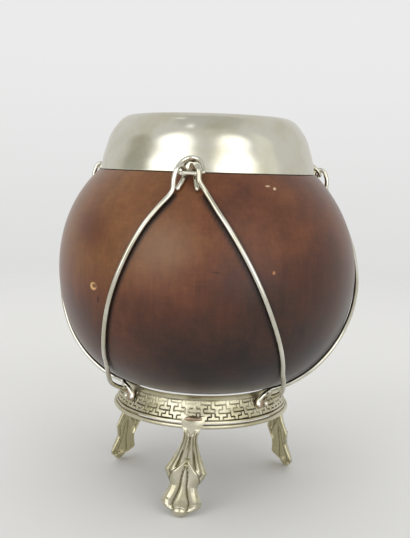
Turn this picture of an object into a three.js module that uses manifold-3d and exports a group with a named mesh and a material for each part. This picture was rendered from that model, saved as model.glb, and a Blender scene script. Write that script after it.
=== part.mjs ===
// A polished coconut shell mounted as a vase: a raised metal collar over the sawn mouth, a low ring on three
// leaf feet under the shell, and six wire stays that tie three rings on the collar to the foot ring.
// Millimetres, +Z up. The origin is on the floor, under the centre of the foot ring.
// Azimuth 0 is the front, towards -Y, and a positive azimuth turns towards +X.
import * as THREE from "three";
import { mergeVertices } from "three/addons/utils/BufferGeometryUtils.js";
import Module from "manifold-3d";

const wasm = await Module();
wasm.setup();

// Driving dimensions
const GAP = 0.3; // clearance kept between neighbouring pieces
const ROUND_STEPS = 40; // facets round every turned piece

const SHELL_RADIUS = 52.5; // greatest outside radius
const SHELL_EQUATOR_Z = 78.2; // height of that radius
const SHELL_RISE = 49.8; // equator to the top that the whole nut had
const SHELL_DROP = 40.8; // equator to the underside
const SHELL_WALL = 3.4;
const SHELL_MOUTH_Z = 118; // the saw cut, hidden under the collar
const SHELL_BULGE = 0.85; // how far the belly of the nut stands to the right of the mount's axis
const SEAT = { z: 112.8, radius: 36.2, topZ: 114.7, topRadius: 36 }; // ledge filed for the collar's edge

const COLLAR_SKIRT_RADIUS = 37.5;
const COLLAR_SKIRT_Z = 113.3; // lower edge of the collar
const COLLAR_TOP_Z = 131.8;
const COLLAR_MOUTH_RADIUS = 24.6; // clear opening of the vase
const COLLAR_LIP_Z = 126.5; // where the collar ends inside its mouth
const COLLAR_SHEET = 0.9;

const BAND_RIM_RADIUS = 30.8;
const BAND_RIM_Z = 30.75;
const BAND_LIP = { radius: 29.8, z: 39.9 }; // upper edge, flared out under the shell
const BAND_SHEET = 0.8;
const RIM_WIRE = { radius: 30.9, z: 29.6, thickness: 1.5 };

const RING_AZIMUTHS = { front: -7.2, right: 108, left: -114.5 }; // rings on the collar, spaced by eye
const RING_WIRE_RADIUS = 0.65;
const RING_HALF_WIDTH = 4.2;
const RING_BAR = { radius: 42, z: 112.7 }; // the ring's straight bar, held off the shell
const RING_ARCH = { radius: 38.1, z: 117.5 }; // the top of its arch, leaning back on the collar
const RING_STEM = { radius: 38.1, z: 115.3 }; // the end of the stem that is soldered to the collar
const RING_STEM_SIDE = -0.15; // the stem is a little off the middle of the bar

const JOINT_AZIMUTHS = { right: 44, back: 177, left: -55 }; // where pairs of stays meet the foot ring
const STAY_RADIUS = 0.78;
const STAY_LIFT = 2.35; // how far the upper stay of a pair stands off where it crosses the lower one
const STAY_LIFT_Z = [49, 43]; // heights between which it rises to that
const STAY_TOUCH_Z = 96.4; // above this the stays run straight up to their rings, off the shell
const STAY_STAND_OFF = 0.006; // how far off, for each square millimetre of height above that
const WIDE_EYE = [1.85, 4.5]; // distances along the ring's bar of the two legs of an eye
const NARROW_EYE = [1.5, 3.3];
// Each stay has its ring, its joint, whether it crosses over the other stay of its joint, its eye, and its
// azimuths where it passes the run's heights on the shell
const STAY_HEIGHTS = [106.5, 97, 85, 73, 60, 50, 44, 41];
const STAYS = [
  { ring: "front", joint: "right", over: true, eye: NARROW_EYE,
    turns: [-0.4, 7.4, 14.7, 20.9, 28.2, 35.3, 43.2, 46.2] },
  { ring: "front", joint: "left", over: true, eye: WIDE_EYE,
    turns: [-13.5, -22.1, -28.8, -34.3, -40, -46.8, -54.5, -57] },
  { ring: "right", joint: "right", over: false, eye: WIDE_EYE,
    turns: [102.4, 98.8, 91.5, 83, 70, 60, 53.3, 48.8] },
  { ring: "right", joint: "back", over: true, eye: WIDE_EYE,
    turns: [116.7, 126, 136.1, 144.6, 153.6, 164, 173.9, 180.5] },
  { ring: "left", joint: "left", over: false, eye: WIDE_EYE,
    turns: [-109, -106, -100.3, -94.3, -86.5, -78, -68, -61] },
  { ring: "left", joint: "back", over: false, eye: WIDE_EYE,
    turns: [-121.9, -130.1, -138.7, -146, -153.8, -162.8, -171.3, -177] },
];

// Each foot has its azimuth, its sideways lean and how far its toe is splayed outwards
const FEET = { front: [-4.1, 6.1, 0], right: [116, 3, 1.6], left: [-123, -6.7, 0] };
const FOOT_TOP_Z = 32.4;
const FOOT_SHEET = 1;
const FOOT_CUP = 1.8; // how far the leaf's edges bend back behind its middle
const FOOT_EAR_RISE = 1.3; // how far the corners of the top stand above its middle
const TOE_RADIUS = 1.8; // the rolled tip that a foot stands on
const TOE_HALF_WIDTH = 2.6; // of that tip, along the roll
const TOE_DISTANCE = 35.2; // of that tip from the axis
const TOE_SINK = 0.25; // depth of the flat worn on it

const coconut = new THREE.MeshStandardMaterial({ color: 0x6b432f, roughness: 0.35, metalness: 0 });
const silver = new THREE.MeshStandardMaterial({ color: 0xc9c7ba, roughness: 0.25, metalness: 1 });
const rad = THREE.MathUtils.degToRad;
const lerp = THREE.MathUtils.lerp;
const smoothstep = THREE.MathUtils.smoothstep;
const part = new THREE.Group();

function add(name, geometry, material) {
  geometry.computeVertexNormals();
  const mesh = new THREE.Mesh(geometry, material.clone());
  mesh.name = name;
  part.add(mesh);
}

// A point at a height and a distance from the axis, moved sideways along the tangent of its azimuth
function place(azimuth, radius, z, side = 0) {
  return new THREE.Vector3(side, -radius, z).applyAxisAngle(new THREE.Vector3(0, 0, 1), rad(azimuth));
}

// Turns a closed outline of [radius, height] pairs round the axis
function turned(outline) {
  const points = outline.map(([radius, z]) => new THREE.Vector2(radius, z));
  return new THREE.LatheGeometry(points, ROUND_STEPS).rotateX(Math.PI / 2);
}

// A smooth curve through points, stepped evenly from point to point, so that tight bends get short steps
class Route extends THREE.CatmullRomCurve3 {
  constructor(points) {
    super(points, false, "centripetal");
  }
  getPointAt(share) {
    return this.getPoint(share);
  }
  getTangentAt(share) {
    return this.getTangent(share);
  }
}

// Round wire along points, with some steps between one point and the next
function wire(points, radius, stepsPerPoint) {
  const section = new THREE.Shape().absarc(0, 0, radius, 0, 2 * Math.PI, false);
  const extrudePath = new Route(points);
  return new THREE.ExtrudeGeometry(section, {
    extrudePath,
    steps: stepsPerPoint * (points.length - 1),
    curveSegments: 4,
  });
}

// Turns a closed geometry into a solid that can be joined and cut, and back
function solidOf(geometry) {
  const bare = geometry.clone();
  bare.deleteAttribute("normal");
  bare.deleteAttribute("uv");
  const merged = mergeVertices(bare, 1e-4);
  const vertProperties = new Float32Array(merged.getAttribute("position").array);
  const triVerts = new Uint32Array(merged.index.array);
  return new wasm.Manifold(new wasm.Mesh({ numProp: 3, vertProperties, triVerts }));
}

function geometryOf(solid) {
  const mesh = solid.getMesh();
  const geometry = new THREE.BufferGeometry();
  geometry.setAttribute("position", new THREE.BufferAttribute(mesh.vertProperties, 3));
  geometry.setIndex(new THREE.BufferAttribute(mesh.triVerts, 1));
  return geometry;
}

// The coconut shell: a ball, nearly round above its equator and fuller and flatter below it, sawn open at the
// top and scraped to an even wall

// Each half is a superellipse: (radius / widest) ^ across + (height / half height) ^ along = 1
const UPPER_HALF = { height: SHELL_RISE, across: 2, along: 2.06 };
const LOWER_HALF = { height: SHELL_DROP, across: 3.5, along: 1.9 };

function shellRadius(z) {
  const half = z > SHELL_EQUATOR_Z ? UPPER_HALF : LOWER_HALF;
  const share = Math.abs(z - SHELL_EQUATOR_Z) / half.height;
  return SHELL_RADIUS * (1 - share ** half.along) ** (1 / half.across);
}

// A point of the outline at a latitude, with the surface moved inwards by a distance
function shellPoint(latitude, inset) {
  const half = latitude > 0 ? UPPER_HALF : LOWER_HALF;
  const rise = Math.abs(Math.sin(latitude)) ** (2 / half.along) * (half.height - inset);
  const radius = (SHELL_RADIUS - inset) * Math.cos(latitude) ** (2 / half.across);
  return [radius, SHELL_EQUATOR_Z + Math.sign(latitude) * rise];
}

// The latitude at which the outline, moved inwards by a distance, has a height
function latitudeOf(z, inset) {
  const half = z > SHELL_EQUATOR_Z ? UPPER_HALF : LOWER_HALF;
  const share = Math.abs(z - SHELL_EQUATOR_Z) / (half.height - inset);
  return Math.sign(z - SHELL_EQUATOR_Z) * Math.asin(share ** (half.along / 2));
}

// The outline from a height down to the axis
function shellLine(topZ, inset, steps) {
  const top = latitudeOf(topZ, inset);
  const line = [];
  for (let i = 0; i < steps; i++) {
    line.push(shellPoint(lerp(top, -Math.PI / 2, i / steps), inset));
  }
  line.push([0, SHELL_EQUATOR_Z - LOWER_HALF.height + inset]);
  return line;
}

// How far the belly stands to the right at a height: nothing where the collar and the foot ring hold it
function bulge(z) {
  return SHELL_BULGE * smoothstep(z, 36, 48) * (1 - smoothstep(z, 72, 112));
}

function coconutShell() {
  const seat = [
    [SEAT.radius, SEAT.z],
    [SEAT.topRadius, SEAT.topZ],
    [shellRadius(SHELL_MOUTH_Z), SHELL_MOUTH_Z],
  ];
  const outer = shellLine(SEAT.z, 0, 16);
  const shell = turned([...outer.reverse(), ...seat, ...shellLine(SHELL_MOUTH_Z, SHELL_WALL, 10)]);
  const position = shell.getAttribute("position");
  for (let i = 0; i < position.count; i++) {
    position.setX(i, position.getX(i) + bulge(position.getZ(i)));
  }
  return shell;
}
add("coconut_shell", coconutShell(), coconut);

// The two raised sheets: each is a smooth line on its outer face, and the same line moved in by the sheet
function sheetLines(line, sheet, steps) {
  const curve = new THREE.SplineCurve(line.map(([radius, z]) => new THREE.Vector2(radius, z)));
  const outer = [];
  const inner = [];
  for (let i = 0; i <= steps; i++) {
    const p = curve.getPointAt(i / steps);
    const t = curve.getTangentAt(i / steps);
    outer.push([p.x, p.y]);
    inner.push([p.x - t.y * sheet, p.y + t.x * sheet]);
  }
  return { outer, inner };
}

// The collar: a sloping skirt, a round shoulder and a mouth turned down inside
const COLLAR_LINE = [
  [COLLAR_SKIRT_RADIUS, COLLAR_SKIRT_Z],
  [36.9, 117],
  [35.7, 121],
  [34.3, 125],
  [32.4, 128],
  [30.2, 130.5],
  [28.2, 131.6],
  [26.6, COLLAR_TOP_Z],
  [25.3, 131.3],
  [COLLAR_MOUTH_RADIUS, 130],
  [COLLAR_MOUTH_RADIUS, COLLAR_LIP_Z],
];
const collar = sheetLines(COLLAR_LINE, COLLAR_SHEET, 13);
add("collar", turned([...collar.outer, ...collar.inner.reverse(), collar.outer[0]]), silver);

// The foot ring: a strip that flares down to a rim, and the round wire along that rim. Its upper edge is
// dressed to the underside of the shell, so there the strip's inner face gives way to a sloping top
const BAND_LINE = [
  [BAND_RIM_RADIUS, BAND_RIM_Z],
  [29.9, 33.2],
  [28.7, 35.6],
  [28.25, 37.5],
  [28.8, 38.9],
  [BAND_LIP.radius, BAND_LIP.z],
];
const BAND_SEAT = [27.4, 39.1]; // the inner end of the sloping top
const band = sheetLines(BAND_LINE, BAND_SHEET, 6);
const bandInner = band.inner.slice(0, 4).reverse();
add("foot_band", turned([...band.outer, BAND_SEAT, ...bandInner, band.outer[0]]), silver);
const rimWire = new THREE.TorusGeometry(RIM_WIRE.radius, RIM_WIRE.thickness / 2, 8, ROUND_STEPS);
add("foot_rim_wire", rimWire.translate(0, 0, RIM_WIRE.z), silver);

// A collar ring: wire bent to a D, its ends meeting in the middle of the bar under a short stem, and the
// stem soldered to the collar's skirt
function collarRing(azimuth) {
  const arch = [];
  for (let i = 0; i <= 8; i++) {
    const turn = (Math.PI * i) / 8;
    const rise = Math.sin(turn);
    const radius = lerp(RING_BAR.radius, RING_ARCH.radius, rise);
    const z = lerp(RING_BAR.z + 0.4, RING_ARCH.z, rise);
    arch.push(place(azimuth, radius, z, RING_HALF_WIDTH * Math.cos(turn)));
  }
  const onBar = (side) => place(azimuth, RING_BAR.radius, RING_BAR.z, side);
  const loop = [...[0.2, 1.8, 3.3].map(onBar), ...arch, ...[-3.3, -1.8, -0.2].map(onBar)];
  const stem = [place(azimuth, RING_STEM.radius, RING_STEM.z, RING_STEM_SIDE), onBar(RING_STEM_SIDE)];
  const whole = solidOf(wire(loop, RING_WIRE_RADIUS, 1)).add(solidOf(wire(stem, RING_WIRE_RADIUS, 1)));
  return geometryOf(whole);
}
for (const [side, azimuth] of Object.entries(RING_AZIMUTHS)) {
  add(`collar_ring_${side}`, collarRing(azimuth), silver);
}

// A stay: an eye bent round the bar of a collar ring, a run down the shell, and a tail on the foot band.
// The stays of a pair cross under the shell, so each tail ends on the far side of the other one.

// The eye, as [share of the way from its inner to its outer leg, radius, height], from its cut end behind the
// bar to the run
const STAY_EYE = [
  [0.36, 43.8, 108.2],
  [0.15, 42.3, 110.0],
  [0.04, 40.8, 111.3],
  [0, 40.2, 112.7],
  [0.11, 40.9, 114.2],
  [0.41, 42.3, 114.8],
  [0.7, 43.7, 114.0],
  [0.89, 44.2, 112.4],
  [1, 44.5, 110.6],
];
// The tails, as [distance past the joint's azimuth, radius, height]
const OVER_TAIL = [
  [1.5, 31.6, 37.5],
  [1.6, 30.6, 36.7],
  [1.7, 30.15, 35.7],
  [1.7, 30.7, 34.4],
];
const UNDER_TAIL = [
  [-1.6, 31.0, 39.4],
  [-0.1, 30.5, 38.5],
  [1.1, 30.1, 37.3],
  [1.6, 29.9, 36.0],
  [1.7, 30.5, 34.7],
];

// The run: a smooth line through its turns, pushed out along the shell's normal to lie on it, or just off it
// near the ring
function stayRun({ turns, over }) {
  const line = new THREE.SplineCurve(STAY_HEIGHTS.map((z, i) => new THREE.Vector2(turns[i], z)));
  const steps = 2 * (STAY_HEIGHTS.length - 1);
  const run = [];
  for (let i = 0; i <= steps; i++) {
    const { x: azimuth, y: z } = line.getPoint(i / steps);
    const slope = (shellRadius(z + 0.1) - shellRadius(z - 0.1)) / 0.2;
    const lift = over ? STAY_LIFT * (1 - smoothstep(z, STAY_LIFT_Z[1], STAY_LIFT_Z[0])) : 0;
    const standOff = STAY_STAND_OFF * Math.max(0, z - STAY_TOUCH_Z) ** 2;
    const out = (STAY_RADIUS + GAP + lift + standOff) / Math.hypot(1, slope);
    const point = place(azimuth, shellRadius(z) + out, z - out * slope);
    point.x += bulge(z);
    run.push(point);
  }
  return run;
}

function stay(settings) {
  const ringAzimuth = RING_AZIMUTHS[settings.ring];
  const jointAzimuth = JOINT_AZIMUTHS[settings.joint];
  const hand = Math.sign(settings.turns.at(-1) - ringAzimuth);
  const tail = settings.over ? OVER_TAIL : UNDER_TAIL;
  const [inner, outer] = settings.eye;
  const points = [
    ...STAY_EYE.map(([share, radius, z]) => place(ringAzimuth, radius, z, hand * lerp(inner, outer, share))),
    ...stayRun(settings),
    ...tail.map(([side, radius, z]) => place(jointAzimuth, radius, z, hand * side)),
  ];
  return wire(points, STAY_RADIUS, 2);
}
for (const settings of STAYS) {
  add(`stay_${settings.ring}_ring_to_${settings.joint}_joint`, stay(settings), silver);
}

// A foot: a cast leaf, its fan top lapped over the rim, bent out to a rolled toe

// Half width of the leaf at a share of its length
const LEAF_WIDTHS = [
  [0, 4.3],
  [0.08, 3.2],
  [0.15, 2.5],
  [0.27, 2.7],
  [0.42, 4.8],
  [0.52, 6.9],
  [0.58, 6.9],
  [0.69, 4.65],
  [0.79, 5.9],
  [0.88, 6.8],
  [0.92, 6.4],
  [0.965, 3],
  [1, 1.5],
];
// Its bend, as [radius, height] of the middle of the outer face
const LEAF_LINE = [
  [32.4, FOOT_TOP_Z],
  [32.9, 30.6],
  [33.1, 28],
  [33.1, 23.5],
  [33.3, 18],
  [34.1, 11],
  [35.1, 5.2],
  [36.1, 2.2],
];

function leafWidth(share) {
  const next = Math.max(1, LEAF_WIDTHS.findIndex(([at]) => at >= share));
  const [from, low] = LEAF_WIDTHS[next - 1];
  const [to, high] = LEAF_WIDTHS[next];
  return lerp(low, high, (share - from) / (to - from));
}

function foot(azimuth, lean, splay) {
  const toeZ = TOE_RADIUS - TOE_SINK;
  const toeDrop = FOOT_TOP_Z - toeZ;
  const bend = new THREE.SplineCurve(LEAF_LINE.map(([radius, z]) => new THREE.Vector2(radius, z)));
  const leaf = new THREE.BoxGeometry(2, 1, 1, 6, 20, 1);
  const position = leaf.getAttribute("position");
  for (let i = 0; i < position.count; i++) {
    const across = position.getX(i);
    const share = 0.5 - position.getY(i);
    const depth = (0.5 - position.getZ(i)) * FOOT_SHEET;
    const p = bend.getPointAt(share);
    const t = bend.getTangentAt(share);
    const cup = FOOT_CUP * across ** 2 * smoothstep(share, 0.15, 0.4) * (1 - smoothstep(share, 0.85, 1));
    const back = depth + cup;
    const ear = FOOT_EAR_RISE * across ** 2 * (1 - smoothstep(share, 0, 0.1));
    const z = p.y - t.x * back + ear;
    const out = p.x + t.y * back + (splay * (FOOT_TOP_Z - z)) / toeDrop;
    position.setXYZ(i, leafWidth(share) * across, -out, z);
  }
  leaf.translate(0, 0, -FOOT_TOP_Z).rotateY(rad(lean)).translate(0, 0, FOOT_TOP_Z);
  const toe = new THREE.SphereGeometry(TOE_RADIUS, 12, 8).scale(TOE_HALF_WIDTH / TOE_RADIUS, 1, 1);
  toe.translate(-Math.tan(rad(lean)) * toeDrop, -TOE_DISTANCE - splay, toeZ);
  const floor = new THREE.BoxGeometry(200, 200, 20).translate(0, 0, -10);
  const whole = solidOf(leaf).add(solidOf(toe)).subtract(solidOf(floor));
  return geometryOf(whole).rotateZ(rad(azimuth));
}
for (const [side, [azimuth, lean, splay]] of Object.entries(FEET)) {
  add(`foot_${side}`, foot(azimuth, lean, splay), silver);
}

export default part;
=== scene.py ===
import bpy
import numpy as np
from mathutils import Euler, Matrix


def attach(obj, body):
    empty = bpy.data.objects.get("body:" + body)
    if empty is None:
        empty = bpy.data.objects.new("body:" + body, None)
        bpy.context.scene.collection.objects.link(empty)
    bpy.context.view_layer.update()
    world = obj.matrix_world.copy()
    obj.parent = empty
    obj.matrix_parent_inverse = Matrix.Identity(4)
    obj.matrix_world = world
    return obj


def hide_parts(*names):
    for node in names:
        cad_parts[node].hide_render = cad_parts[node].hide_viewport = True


# A coconut shell mounted as a vase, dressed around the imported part. Lengths in the shapes are millimetres,
# and skin() turns them into metres. Azimuths are degrees from the front, which is -Y, towards +X.
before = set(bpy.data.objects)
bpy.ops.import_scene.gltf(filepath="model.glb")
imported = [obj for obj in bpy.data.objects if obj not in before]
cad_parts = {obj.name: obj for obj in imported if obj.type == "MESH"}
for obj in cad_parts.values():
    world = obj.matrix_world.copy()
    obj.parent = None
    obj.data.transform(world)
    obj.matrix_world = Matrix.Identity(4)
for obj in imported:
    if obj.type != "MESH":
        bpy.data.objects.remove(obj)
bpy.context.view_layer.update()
scene = bpy.context.scene

# The camera stands where the photographer's did, level with the collar's lower edge, tilted down and held
# slightly askew. Its place in metres, its angles and its lens come from a pinhole camera fitted to the
# object's outline.
CAMERA_PLACE = (0.00093, -0.28717, 0.11532)
CAMERA_PITCH = np.radians(82.63)
CAMERA_TURN = np.radians(0.17)
CAMERA_ROLL = np.radians(1.76)
CAMERA_LENS = 53.79
camera = bpy.data.objects.new("camera", bpy.data.cameras.new("camera"))
camera.data.lens = CAMERA_LENS
pointing = Euler((CAMERA_PITCH, 0, CAMERA_TURN)).to_matrix() @ Matrix.Rotation(CAMERA_ROLL, 3, "Z")
camera.matrix_world = Matrix.Translation(CAMERA_PLACE) @ pointing.to_4x4()
scene.collection.objects.link(camera)
scene.camera = camera

# The coconut shell: the hard inner shell of one nut, sawn open at the top, scraped clean of husk and rubbed
# to a satin polish. It is held by the collar above and stands in the foot ring below.
SHELL_WIDEST = 52.5
SHELL_WIDEST_Z = 78.2
# Above and below the widest circle: how far the nut reaches, and the powers that round its outline
SHELL_REACH = (49.8, 40.8)
SHELL_POWER_ACROSS = (2.0, 3.5)
SHELL_POWER_UP = (2.06, 1.9)
SHELL_WALL = 3.4
SHELL_MOUTH_Z = 118.0
# Radius and height of the step that the collar's skirt sits on
SHELL_SEAT = [(36.2, 112.8), (36.0, 114.7)]
SHELL_BULGE = 0.85
BULGE_STARTS = (36, 48)
BULGE_ENDS = (72, 112)
SHELL_DENT = 0.12
DENTS_START = (42, 60)
DENTS_END = (98, 110)
SHELL_COLUMNS = 320


def step(value, low, high):
    """0 below low, 1 above high, and a smooth cubic rise between them."""
    share = np.clip((value - low) / (high - low), 0, 1)
    return share * share * (3 - 2 * share)


def plateau(value, rise, fall):
    """0 up to the rise, 1 between the rise and the fall, and 0 after it, with smooth steps over both."""
    return step(value, *rise) * (1 - step(value, *fall))


def nut(latitude, inset=0.0):
    """The nut's outline as radius and height at latitudes, moved in by an inset. Each half is a superellipse:
    radius over the widest, to one power, and height over the half's height, to another, add up to 1."""
    above = latitude > 0
    half_height = np.where(above, *SHELL_REACH) - inset
    radius = (SHELL_WIDEST - inset) * np.cos(latitude) ** (2 / np.where(above, *SHELL_POWER_ACROSS))
    rise = np.abs(np.sin(latitude)) ** (2 / np.where(above, *SHELL_POWER_UP)) * half_height
    return np.stack([radius, SHELL_WIDEST_Z + np.sign(latitude) * rise], -1)


def nut_radius(z):
    """The outside radius of the nut at heights, from the same superellipses solved for the radius."""
    above = z > SHELL_WIDEST_Z
    share = np.abs(z - SHELL_WIDEST_Z) / np.where(above, *SHELL_REACH)
    inner = 1 - share ** np.where(above, *SHELL_POWER_UP)
    return SHELL_WIDEST * inner ** (1 / np.where(above, *SHELL_POWER_ACROSS))


def bulge(z):
    """How far the nut's belly stands to the right of the mount's axis at heights: a smooth rise and fall."""
    return SHELL_BULGE * plateau(z, BULGE_STARTS, BULGE_ENDS)


def even(line, spacing):
    """The same line with its points about one spacing apart, measured along it."""
    line = np.asarray(line, float)
    run = np.concatenate([[0], np.cumsum(np.linalg.norm(np.diff(line, axis=0), axis=1))])
    places = np.linspace(0, run[-1], max(2, int(round(run[-1] / spacing)) + 1))
    return np.stack([np.interp(places, run, column) for column in line.T], -1)


def turn(profile, columns):
    """A grid of points from a profile of radius and height carried round the axis."""
    around = np.linspace(0, 2 * np.pi, columns, endpoint=False)
    radius, z = profile[:, :1], profile[:, 1:]
    return np.stack([radius * np.sin(around), -radius * np.cos(around), z + 0 * around], -1)


def skin(name, grid, looped=False, sharp=40):
    """A closed mesh over a grid of points in millimetres, rows along the piece and columns round it. The
    columns close on themselves. The rows do too if looped, and otherwise each end is fanned shut from the
    middle of its row. Faces are turned out by the sign of the enclosed volume."""
    rows, columns = grid.shape[:2]
    index = np.arange(rows * columns).reshape(rows, columns)
    here = index if looped else index[:-1]
    after = np.roll(index, -1, 0) if looped else index[1:]
    quads = np.stack([here, np.roll(here, -1, 1), np.roll(after, -1, 1), after], -1).reshape(-1, 4)
    points = grid.reshape(-1, 3)
    fans = np.zeros((0, 3), int)
    if not looped:
        points = np.concatenate([points, grid[0].mean(0)[None], grid[-1].mean(0)[None]])
        first = np.stack([np.full(columns, len(points) - 2), np.roll(index[0], -1), index[0]], -1)
        last = np.stack([np.full(columns, len(points) - 1), index[-1], np.roll(index[-1], -1)], -1)
        fans = np.concatenate([first, last])
    corner = points[quads]
    volume = np.einsum("ij,ij->", corner[:, 0], np.cross(corner[:, 1], corner[:, 2]))
    volume += np.einsum("ij,ij->", corner[:, 0], np.cross(corner[:, 2], corner[:, 3]))
    if volume < 0:
        quads, fans = quads[:, ::-1], fans[:, ::-1]
    corners = np.concatenate([quads.ravel(), fans.ravel()])
    starts = np.concatenate([np.arange(len(quads)) * 4, len(quads) * 4 + np.arange(len(fans)) * 3])
    mesh = bpy.data.meshes.new(name)
    mesh.vertices.add(len(points))
    mesh.loops.add(len(corners))
    mesh.polygons.add(len(starts))
    mesh.vertices.foreach_set("co", points.ravel() * 0.001)
    mesh.loops.foreach_set("vertex_index", corners)
    mesh.polygons.foreach_set("loop_start", starts)
    mesh.polygons.foreach_set("use_smooth", np.ones(len(starts), bool))
    mesh.update(calc_edges=True)
    mesh.validate()
    mesh.set_sharp_from_angle(angle=np.radians(sharp))
    piece = bpy.data.objects.new(name, mesh)
    scene.collection.objects.link(piece)
    return piece


def paint(piece, name, values):
    """Gives each point of a piece's grid a value that its material reads; the ends' middle points get 0."""
    layer = piece.data.attributes.new(name, "FLOAT", "POINT")
    all_values = np.zeros(len(piece.data.vertices), np.float32)
    all_values[: values.size] = values.ravel()
    layer.data.foreach_set("value", all_values)


def fit(piece, slot, material, *nodes):
    """Gives a piece its material, rides it on the part, and puts it in place of its CAD nodes. The slot is
    not used.
    """
    piece.data.materials.append(material)
    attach(piece, "root")
    if nodes:
        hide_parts(*nodes)


def colour(code):
    """The linear colour of an sRGB hex code, with full cover."""
    value = np.array([int(code[i : i + 2], 16) for i in (1, 3, 5)]) / 255
    linear = np.where(value <= 0.04045, value / 12.92, ((value + 0.055) / 1.055) ** 2.4)
    return (*linear, 1.0)


def add_node(tree, kind, sockets=None, **settings):
    """Adds a node to a tree, sets its properties, and gives its input sockets a value or another's output."""
    made = tree.nodes.new(kind)
    for name, value in settings.items():
        setattr(made, name, value)
    for name, value in (sockets or {}).items():
        if isinstance(value, bpy.types.NodeSocket):
            tree.links.new(value, made.inputs[name])
        else:
            made.inputs[name].default_value = value
    return made


def new_material(name):
    """A material whose node tree is empty, and that tree."""
    material = bpy.data.materials.new(name)
    material.use_nodes = True
    material.node_tree.nodes.clear()
    return material, material.node_tree


def shell_grid():
    """The nut's outline from its foot up to the collar's seat, over the saw cut and down inside, carried
    round the axis. Two slow waves round the nut dent the outside, never past its outline, and the belly
    stands to the right. Latitudes crowd at the foot, where the outline is nearly flat."""
    low = -np.pi / 2 + (np.pi / 2) * np.linspace(0.02, 1, 3000) ** 3
    high = np.linspace(0.001, np.pi / 2 - 0.001, 3000)
    outline = nut(np.concatenate([low, high]))
    outside = outline[outline[:, 1] < SHELL_SEAT[0][1]]
    inner = nut(np.concatenate([low, high]), SHELL_WALL)
    inside = inner[inner[:, 1] < SHELL_MOUTH_Z][::-1]
    saw_cut = [(float(nut_radius(np.array(SHELL_MOUTH_Z))), SHELL_MOUTH_Z), tuple(inside[0])]
    ledge = even([tuple(outside[-1]), *SHELL_SEAT, *saw_cut], 0.7)
    outside = even(outside, 1.0)
    inside = even(inside, 1.4)
    profile = np.concatenate([outside, ledge[1:-1], inside])
    grid = turn(profile, SHELL_COLUMNS)
    azimuth = np.linspace(0, 2 * np.pi, SHELL_COLUMNS, endpoint=False)
    z = profile[:, 1:]
    dent = 0.5 + 0.25 * np.sin(3 * azimuth + z / 14) + 0.25 * np.sin(2 * azimuth - z / 9 + 1)
    outer = (np.arange(len(profile)) < len(outside))[:, None]
    dent = SHELL_DENT * dent * outer * plateau(z, DENTS_START, DENTS_END)
    grid[..., :2] *= (1 - dent / SHELL_WIDEST)[..., None]
    grid[..., 0] += bulge(z)
    inner_side = np.repeat(~outer, SHELL_COLUMNS, axis=1).astype(float)
    return grid, inner_side


# The tones from the dark foot to the light upper left, each at its place on a scale of 0 to 1: partly the
# nut's own colour, partly painted shade and painted light
SHELL_TONES_AND_PAINTED_LIGHT = [
    (0.0, "#231917"), (0.22, "#3A251D"), (0.42, "#4B2B1E"),
    (0.62, "#5F3722"), (0.85, "#6E4729"), (1.0, "#7E5833"),
]
# Each mark is its middle and half sizes, its colour, how much it covers and how soft its edge is
SHELL_MARKS = [
    # The first mark is a painted highlight: a greyish haze where the left window shines on the shell
    ((-12.8, -49.0, 90.5), (11, 11, 8), "#84705C", 0.26, 0.9),
    ((-36.5, -33.9, 94.0), (8, 9, 7), "#4E2418", 0.6, 0.9),
    ((36.0, -36.0, 76.0), (9, 10, 8), "#33201A", 0.45, 0.9),
    ((3.6, -52.0, 83.9), (1.3, 1.5, 0.3), "#2E1B15", 0.6, 0.5),
    ((18.9, -37.2, 109.4), (0.9, 1.4, 0.32), "#B59C7C", 0.85, 0.4),
    ((21.0, -36.1, 108.6), (0.55, 1.2, 0.5), "#C2AA88", 0.85, 0.4),
    ((20.95, -48.1, 83.8), (0.5, 0.9, 0.6), "#A9774F", 0.75, 0.5),
    ((-32.9, -39.7, 72.7), (0.4, 0.9, 1.3), "#21130F", 0.85, 0.5),
    ((-34.6, -38.7, 76.7), (1.5, 1.7, 1.3), "#C79F6B", 0.95, 0.3),
    ((-34.2, -38.9, 76.9), (0.95, 1.3, 0.75), "#5C3A22", 0.9, 0.3),
]


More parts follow.
